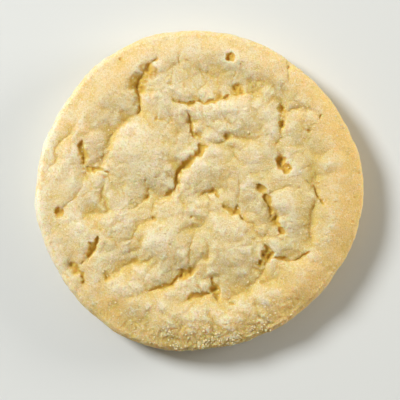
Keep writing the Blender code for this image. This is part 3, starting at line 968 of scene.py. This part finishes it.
def scatter_tree(name):
    """Strews a grain over a crust as thickly as a named mark says."""
    nodes, given = new_tree(name, {
        "Grain": "NodeSocketObject", "Spacing": "NodeSocketFloat", "Smallest": "NodeSocketFloat",
        "Largest": "NodeSocketFloat", "Sunk": "NodeSocketFloat", "Mark": "NodeSocketString",
        "Swelling": "NodeSocketFloat", "Seed": "NodeSocketInt", "Material": "NodeSocketMaterial",
    })
    points = nodes.add("GeometryNodeDistributePointsOnFaces", {"distribute_method": "POISSON"}, {
        "Mesh": given["Geometry"], "Distance Min": given["Spacing"], "Seed": given["Seed"],
        "Density Max": MOST_PER_SQUARE_METRE, "Density Factor": read_mark(nodes, given["Mark"]),
    }, "Points")
    turn = nodes.add(
        "FunctionNodeRandomValue", {"data_type": "FLOAT_VECTOR"},
        {0: (0.0, 0.0, 0.0), 1: (math.tau, math.tau, math.tau), "Seed": given["Seed"]},
    )
    width = nodes.add(
        "FunctionNodeRandomValue", {"data_type": "FLOAT"},
        {2: given["Smallest"], 3: given["Largest"], "Seed": given["Seed"] + 1.0}, 1,
    )
    width = width * (1.0 + read_mark(nodes, "crumbled") * given["Swelling"])
    drop = nodes.add(
        "ShaderNodeVectorMath", {"operation": "SCALE"},
        {0: points.sibling("Normal"), "Scale": width * given["Sunk"]},
    )
    seated = nodes.add("GeometryNodeSetPosition", {}, {"Geometry": points, "Offset": drop})
    shape = nodes.add("GeometryNodeObjectInfo", {}, {"Object": given["Grain"]}, "Geometry")
    strewn = nodes.add(
        "GeometryNodeInstanceOnPoints", {},
        {"Points": seated, "Instance": shape, "Rotation": turn, "Scale": width},
    )
    finish_tree(nodes, strewn, given["Material"])
    return nodes


def thinned(mesh, triangles):
    """A copy of a mesh with fewer triangles, which stay small where the crust is cracked."""
    holder = linked("holder", mesh)
    thin = holder.modifiers.new("Thin", "DECIMATE")
    thin.ratio = min(1.0, triangles / len(mesh.polygons))
    return plain_mesh(holder)


def principled(name, values):
    """A new material with its shader's fixed values, its node maker and its shader node."""
    material = bpy.data.materials.new(name)
    material.use_nodes = True
    shader = material.node_tree.nodes["Principled BSDF"]
    for socket, value in values.items():
        shader.inputs[socket].default_value = value
    return material, Nodes(material.node_tree), shader


def rim_gold_and_shade(nodes, radius, far_side, drift):
    """How golden the rim is: its own gold, with painted shade that adds more on the side away from the
    window and a painted highlight that pales its lip near it.
    """
    lip_highlight = nodes.ramp(radius, *LIP_RADII) * nodes.ramp(far_side, *LIP_SIDE)
    shade = NEAR_RIM_GOLD + (1.0 - NEAR_RIM_GOLD) * nodes.ramp(far_side, *RIM_SIDE)
    rim = nodes.ramp(radius + drift * RIM_DRIFT, *RIM_RADII) * shade
    return rim * (1.0 - lip_highlight * LIP_HIGHLIGHT)


def rim_streaks(nodes, radius, far_side, x, y):
    """Fine streaks down the rim, on the side away from the window, from about -0.5 to 0.5."""
    angle = nodes.add("ShaderNodeMath", {"operation": "ARCTAN2"}, {0: y, 1: x})
    spokes = nodes.add("ShaderNodeCombineXYZ", {}, {
        "X": radius * STREAK_STRETCH, "Y": angle * STREAK_TURN,
    })
    streak = (noise_field(nodes, STREAKS, spokes) - FIELD_MIDDLE) * nodes.ramp(radius, *STREAK_RADII)
    return streak * nodes.ramp(far_side, *STREAK_SIDE)


def crust_material(colours):
    """Dry baked dough: pale in the middle, golden at the rim, browned in the cracks and sandy, with
    painted shade away from the window and in hollows and painted highlights.
    """
    material, nodes, shader = principled("baked_crust", {
        "Specular IOR Level": 0.6, "Subsurface Weight": 0.9,
        "Subsurface Radius": (1.0, 0.6, 0.22), "Subsurface Scale": 2.3 * MM,
    })
    place = nodes.add("ShaderNodeTexCoord", {}, {}, "Object")
    x = nodes.add("ShaderNodeSeparateXYZ", {}, {"Vector": place}, "X")
    y, z = x.sibling("Y"), x.sibling("Z")
    radius = nodes.add("ShaderNodeMath", {"operation": "SQRT"}, {0: x * x + y * y})
    marks = {
        name: nodes.add("ShaderNodeAttribute", {"attribute_name": name}, {}, "Fac")
        for name in ("opened", "hollow", "dipped", "crumbled", "gilded", "pored", "grained")
    }
    drift, blotch, mottle = (
        noise_field(nodes, field, place) - FIELD_MIDDLE for field in (DRIFT, BLOTCHES, MOTTLE)
    )
    sand = noise_field(nodes, SAND, place)
    across = x * ACROSS_X + y * ACROSS_Y
    far_side = across / (radius + HUB)

    gold = rim_gold_and_shade(nodes, radius, far_side, drift) + marks["gilded"]
    gold = gold + blotch * BLOTCH_GOLD + mottle * MOTTLE_GOLD
    gold = (gold + rim_streaks(nodes, radius, far_side, x, y)).clamp()
    # Painted shade across the middle, away from the window.
    middle = nodes.mix(nodes.ramp(across, *FAR_SHADE_BAND), colour(colours.pale), colour(colours.far_shade_and_crumb_tone))
    # Painted highlight on the left edge, towards the window.
    edge_highlight = nodes.ramp(radius, *EDGE_HIGHLIGHT_RADII) * nodes.ramp(x / (radius + HUB), *EDGE_HIGHLIGHT_SIDE) * EDGE_HIGHLIGHT_SHARE
    middle = nodes.mix(edge_highlight, middle, colour(colours.pale_grain_and_highlight))
    crust = nodes.mix(gold, middle, colour(colours.golden))

    # Painted yellow shade in the hollows, dips and crumbled gaps, mixed with random blotches and grain.
    low = marks["hollow"] * (HOLLOW_SHADE_YELLOW + marks["crumbled"] * LOOSE_HOLLOW_SHADE_YELLOW)
    low = low + marks["dipped"] * DIPPED_SHADE_YELLOW - (marks["grained"] - FIELD_MIDDLE)
    low = low + blotch * BLOTCH_YELLOW + mottle * MOTTLE_YELLOW
    low = low + marks["crumbled"] * (LOOSE_SHADE_YELLOW + mottle * LOOSE_MOTTLE_YELLOW + blotch)
    yellow_shade_and_tone = nodes.mix(nodes.ramp(low, *SHADE_YELLOW_BAND), crust, colour(colours.hollow_shade_yellow))
    # Painted highlight on what stands above the crust around it, mixed with random tone.
    raised_highlight_and_tone = nodes.ramp(low, *HIGHLIGHT_AND_TONE_BAND) * HIGHLIGHT_AND_TONE_SHARE
    highlighted_and_toned = nodes.mix(raised_highlight_and_tone, yellow_shade_and_tone, colour(colours.pale_grain_and_highlight))
    sandy = nodes.mix(nodes.ramp(sand, *DARK_SAND_BAND), highlighted_and_toned, colour(colours.shaded))
    sandy = nodes.mix(nodes.ramp(sand, *LIGHT_SAND_BAND), sandy, colour(colours.pale_grain_and_highlight))

    speck = marks["pored"] * nodes.ramp(blotch + mottle * SPECK_MOTTLE, *SPECK_BAND) * SPECK_SHARE
    brown = (nodes.ramp(marks["opened"], *BROWN_BAND) * BROWN_SHARE + speck).clamp()
    toasted = nodes.mix(brown, sandy, colour(colours.browned))
    under = 1.0 - nodes.ramp(z + mottle * BASE_MOTTLE, *BASE_BAND)
    finished = nodes.mix(under * BASE_SHARE, toasted, colour(colours.base))
    nodes.tree.links.new(finished.output, shader.inputs["Base Color"])
    rough = CRUST_ROUGHNESS + mottle * MOTTLE_ROUGHNESS + brown * BROWN_ROUGHNESS
    nodes.tree.links.new(rough.output, shader.inputs["Roughness"])
    bump = nodes.add(
        "ShaderNodeBump", {}, {"Strength": 1.0, "Distance": SAND_HEIGHT, "Height": sand}, "Normal"
    )
    nodes.tree.links.new(bump.output, shader.inputs["Normal"])
    return material


def crumb_material(colours):
    """Loose crumbs, each a little paler or browner than the next."""
    material, nodes, shader = principled("loose_crumbs", {
        "Roughness": 0.8, "Subsurface Weight": 0.5,
        "Subsurface Radius": (1.0, 0.7, 0.4), "Subsurface Scale": 0.2 * MM,
    })
    place = nodes.add("ShaderNodeTexCoord", {}, {}, "Object")
    browner = nodes.ramp(noise_field(nodes, CRUMB_CLOUDS, place), *CRUMB_BAND)
    tint = nodes.mix(browner, colour(colours.crumb), colour(colours.far_shade_and_crumb_tone))
    nodes.tree.links.new(tint.output, shader.inputs["Base Color"])
    return material


def sugar_material(colours):
    """Clear, slightly yellow sugar."""
    material, nodes, shader = principled("sugar_grain", {
        "Roughness": 0.6, "Specular IOR Level": 0.15, "Subsurface Weight": 0.6,
        "Subsurface Radius": (1.0, 0.9, 0.7), "Subsurface Scale": 0.12 * MM,
    })
    place = nodes.add("ShaderNodeTexCoord", {}, {}, "Object")
    cloud = noise_field(nodes, SUGAR_CLOUDS, place) * SUGAR_CLOUD_SHARE
    tint = nodes.mix(cloud, colour(colours.sugar), colour(colours.pale))
    nodes.tree.links.new(tint.output, shader.inputs["Base Color"])
    return material


def painted(mesh, material):
    """The mesh with one material and no other."""
    mesh.materials.clear()
    mesh.materials.append(material)
    return mesh


def crumb_shape():
    """One rough crumb, 1 m wide, to be strewn small."""
    bm = bmesh.new()
    bmesh.ops.create_icosphere(bm, subdivisions=2, radius=0.5)
    for vert in bm.verts:
        vert.co *= 1.0 + CRUMB_LUMP_HEIGHT * noise.noise(vert.co * CRUMB_LUMPS)
        vert.co.z *= CRUMB_FLATNESS
    return linked("crumb_shape", filled_mesh("crumb_shape", bm))


def sugar_shape():
    """One grain of sugar, 1 m wide: a slanted block with worn edges."""
    bm = bmesh.new()
    bmesh.ops.create_cube(bm, size=1.0)
    for vert in bm.verts:
        vert.co.x += SUGAR_SLANT * vert.co.z
        vert.co.y *= SUGAR_DEPTH
    bmesh.ops.bevel(bm, geom=bm.edges[:], offset=SUGAR_WEAR, segments=1, affect="EDGES")
    return linked("sugar_shape", filled_mesh("sugar_shape", bm))


def top_share(mesh, slopes):
    """A mesh's points, and from 0 to 1 how far each lies on the top, where it can hold a grain."""
    points = np.array([vert.co for vert in mesh.vertices])
    up = np.array([vert.normal.z for vert in mesh.vertices])
    return points, smoothstep(*slopes, up) * (points[:, 2] > STREWN_LEVEL)


def strew(crust, piece_name, shape, values, material, seed):
    """Strews a shape over the crust and gives the result as a piece that rides with the cookie."""
    nodes = scatter_tree(piece_name.replace("_", " ").capitalize())
    given = {"Grain": shape, "Seed": seed, "Material": material, **values}
    mesh = applied(crust.data.copy(), nodes, given)
    bpy.data.objects.remove(shape)
    piece = linked(piece_name, painted(mesh, material))
    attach(piece, "root")
    return piece


class COOKIE_OT_crust(bpy.types.Operator):
    """Bakes the crust: its cracked form, its sandy grain and its colours"""

    bl_idname = "cookie.crust"
    bl_label = "Bake the crust"

    def execute(self, context):
        sizes, colours = context.scene.cookie_sizes, context.scene.cookie_colours
        material = crust_material(colours)
        noise.seed_set(NOISE_SEED)
        grained = applied(wrapped_crust(sizes), grain_tree(), {
            "Grain size": sizes.grain_size, "Grain height": sizes.grain_height,
            "Pore spacing": sizes.pore_size, "Pore depth": sizes.pore_depth,
            "Seed": float(sizes.seed), "Material": material,
        })
        mesh = thinned(grained, CRUST_TRIANGLES)
        mesh.name = "cookie_crust"
        mesh.shade_smooth()
        piece = linked("cookie_crust", painted(mesh, material))
        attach(piece, "root")
        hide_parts("cookie")
        return {"FINISHED"}


class COOKIE_OT_crumbs(bpy.types.Operator):
    """Strews fine crumbs over the top"""

    bl_idname = "cookie.crumbs"
    bl_label = "Strew the crumbs"

    def execute(self, context):
        sizes, colours = context.scene.cookie_sizes, context.scene.cookie_colours
        crust = bpy.data.objects["cookie_crust"]
        points, on_top = top_share(crust.data, CRUMB_SLOPES)
        patch = fractal(points, CRUMB_PATCH_SIZE, STREWN_OCTAVES, (2.0, 6.0, 1.0))
        crumbled = bumps(points[:, :2], CRUMBLED_PATCHES)
        share = CRUMBS_EVERYWHERE + CRUMBS_IN_PATCHES * patch + CRUMBS_WHERE_LOOSE * crumbled
        share *= on_top
        add_mark(crust.data, "crumbly", share.clip(0.0, 1.0))
        piece = strew(crust, "crumbs", crumb_shape(), {
            "Spacing": sizes.crumb_gap, "Mark": "crumbly", "Sunk": -0.25, "Swelling": 0.6,
            "Smallest": sizes.crumb_size * 0.5, "Largest": sizes.crumb_size * 1.5,
        }, crumb_material(colours), sizes.seed)
        return {"FINISHED"}


class COOKIE_OT_sugar(bpy.types.Operator):
    """Strews grains of sugar, thickly along the near edge and thinly elsewhere"""

    bl_idname = "cookie.sugar"
    bl_label = "Strew the sugar"

    def execute(self, context):
        sizes, colours = context.scene.cookie_sizes, context.scene.cookie_colours
        crust = bpy.data.objects["cookie_crust"]
        points, on_top = top_share(crust.data, SUGAR_SLOPES)
        patch = fractal(points, SUGAR_PATCH_SIZE, STREWN_OCTAVES, (8.0, 1.0, 5.0))
        edge = bumps(points[:, :2], SUGAR_PATCHES)
        share = on_top * (edge * (SUGAR_IN_CLUSTERS + patch) + SUGAR_EVERYWHERE)
        add_mark(crust.data, "sugared", share.clip(0.0, 1.0))
        strew(crust, "sugar_grains", sugar_shape(), {
            "Spacing": sizes.sugar_gap, "Mark": "sugared", "Sunk": -0.15, "Swelling": 0.0,
            "Smallest": sizes.sugar_size * 0.6, "Largest": sizes.sugar_size * 1.35,
        }, sugar_material(colours), sizes.seed + SUGAR_SEED_STEP)
        return {"FINISHED"}


class COOKIE_OT_stage(bpy.types.Operator):
    """Sets the floor, the soft window light from the upper left and the camera overhead"""

    bl_idname = "cookie.stage"
    bl_label = "Set the stage"

    def execute(self, context):
        self.floor(context.scene.cookie_colours)
        self.lights(context.scene)
        self.camera(context.scene)
        context.scene.view_settings.view_transform = "Standard"
        return {"FINISHED"}

    def floor(self, colours):
        material = principled("matt_floor", {"Base Color": colour(colours.floor), "Roughness": 0.9})[0]
        bpy.ops.mesh.primitive_plane_add(size=FLOOR_WIDTH, location=(0, 0, COOKIE_LOW.z))
        floor = bpy.context.object
        floor.name = "floor"
        floor.data.materials.append(material)

    def lights(self, scene):
        self.lamp(
            scene, "window", tint=(0.975, 1.0, 1.03), watts=16.3,
            width=0.42, distance=1.25, azimuth=146, elevation=40,
        )
        self.lamp(
            scene, "reflector", tint=(1.0, 0.965, 0.92), watts=7.5,
            width=0.5, distance=1.1, azimuth=16, elevation=14,
        )
        world = bpy.data.worlds.new("studio")
        world.use_nodes = True
        nodes = Nodes(world.node_tree)
        way = nodes.add("ShaderNodeTexCoord", {}, {}, "Object")
        north = nodes.add("ShaderNodeSeparateXYZ", {}, {"Vector": way}, "Y")
        room = nodes.mix(nodes.ramp(north, *ROOM_BAND), colour(ROOM_FRONT), colour(ROOM_BACK))
        world.node_tree.links.new(room.output, world.node_tree.nodes["Background"].inputs["Color"])
        scene.world = world

    def lamp(self, scene, name, tint, watts, width, distance, azimuth, elevation):
        """A round soft light that faces the cookie. Its angles are in degrees."""
        light = bpy.data.lights.new(name, "AREA")
        light.shape = "DISK"
        light.size = width
        light.energy = watts
        light.color = tint
        lamp = bpy.data.objects.new(name, light)
        scene.collection.objects.link(lamp)
        turn, rise = math.radians(azimuth), math.radians(elevation)
        flat = math.cos(rise)
        away = Vector((flat * math.cos(turn), flat * math.sin(turn), math.sin(rise)))
        lamp.location = away * distance
        lamp.rotation_euler = away.to_track_quat("Z", "Y").to_euler()

    def camera(self, scene):
        lens = bpy.data.cameras.new("overhead")
        lens.sensor_width = SENSOR_WIDTH
        lens.lens = SENSOR_WIDTH * VIEW_DISTANCE / VIEW_WIDTH
        lens.clip_start = 0.01
        camera = bpy.data.objects.new("overhead", lens)
        scene.collection.objects.link(camera)
        camera.location = VIEW_CENTRE + Vector((0, 0, VIEW_DISTANCE))
        scene.camera = camera


class COOKIE_PT_panel(bpy.types.Panel):
    """Lists the steps of making the cookie"""

    bl_idname = "COOKIE_PT_panel"
    bl_label = "Sugar cookie"
    bl_space_type = "VIEW_3D"
    bl_region_type = "UI"
    bl_category = "Cookie"

    def draw(self, context):
        for operator in OPERATORS:
            self.layout.operator(operator.bl_idname)
        for group in (context.scene.cookie_sizes, context.scene.cookie_colours):
            box = self.layout.box()
            for name in type(group).__annotations__:
                box.prop(group, name)


OPERATORS = (COOKIE_OT_crust, COOKIE_OT_crumbs, COOKIE_OT_sugar, COOKIE_OT_stage)
CLASSES = (CookieSizes, CookieColours, *OPERATORS, COOKIE_PT_panel)


def register():
    """Adds the classes and the scene's settings."""
    for cls in CLASSES:
        bpy.utils.register_class(cls)
    bpy.types.Scene.cookie_sizes = PointerProperty(type=CookieSizes)
    bpy.types.Scene.cookie_colours = PointerProperty(type=CookieColours)


def unregister():
    """Takes away the scene's settings and the classes."""
    del bpy.types.Scene.cookie_colours
    del bpy.types.Scene.cookie_sizes
    for cls in reversed(CLASSES):
        bpy.utils.unregister_class(cls)


def main():
    """Makes the cookie and its stage."""
    register()
    bpy.ops.cookie.crust()
    bpy.ops.cookie.crumbs()
    bpy.ops.cookie.sugar()
    bpy.ops.cookie.stage()


if __name__ == "__main__":
    main()
